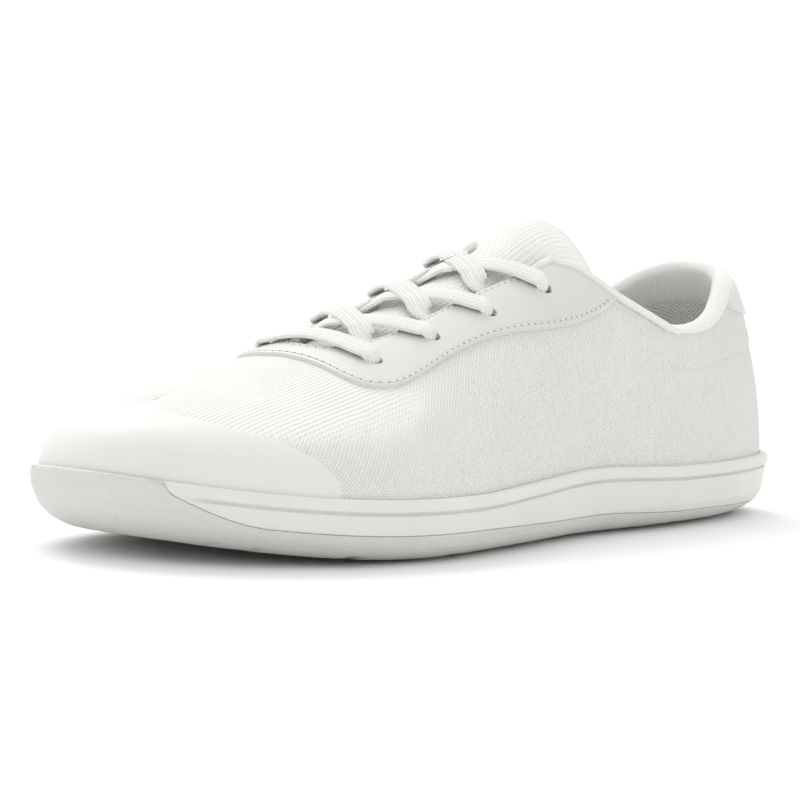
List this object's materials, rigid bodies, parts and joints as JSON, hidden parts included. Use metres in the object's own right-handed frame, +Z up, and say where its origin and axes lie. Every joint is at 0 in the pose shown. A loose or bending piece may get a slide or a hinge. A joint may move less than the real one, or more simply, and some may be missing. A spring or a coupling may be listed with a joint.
{
  "type": "barefoot shoe",
  "caption": "Low lace-up barefoot shoe with canvas upper, eyestay, toe cap, padded tongue and collar, and a wide cup sole.",
  "frame": {"origin": "on the floor under the middle of the sole's box", "axes": "+X towards the toe, +Y towards the outer side of the left foot, +Z up"},
  "size_m": [0.272, 0.1036, 0.0852],
  "materials": {
    "outsole_rubber": "pebbled matte white rubber",
    "midsole_rubber": "satin ivory white rubber",
    "insole_fabric": "fine grey-white knit over foam",
    "canvas": "fine white woven canvas",
    "cap_film": "smooth satin white film",
    "smooth_panel": "smooth white coated leather",
    "lining_mesh": "grey-white spacer mesh, padded",
    "tongue_knit": "ribbed white knit, padded",
    "lace": "flat woven white lace"
  },
  "bodies": {
    "root": {"outsole": "outsole_rubber", "midsole": "midsole_rubber", "insole": "insole_fabric", "upper": "canvas", "toe_cap": "cap_film", "eyestay": "smooth_panel", "heel_tab": "smooth_panel", "collar_lining": "lining_mesh", "tongue": "tongue_knit", "lace_bar": "lace", "lace_cross_1": "lace", "lace_cross_2": "lace", "lace_cross_3": "lace"}
  },
  "joints": []
}
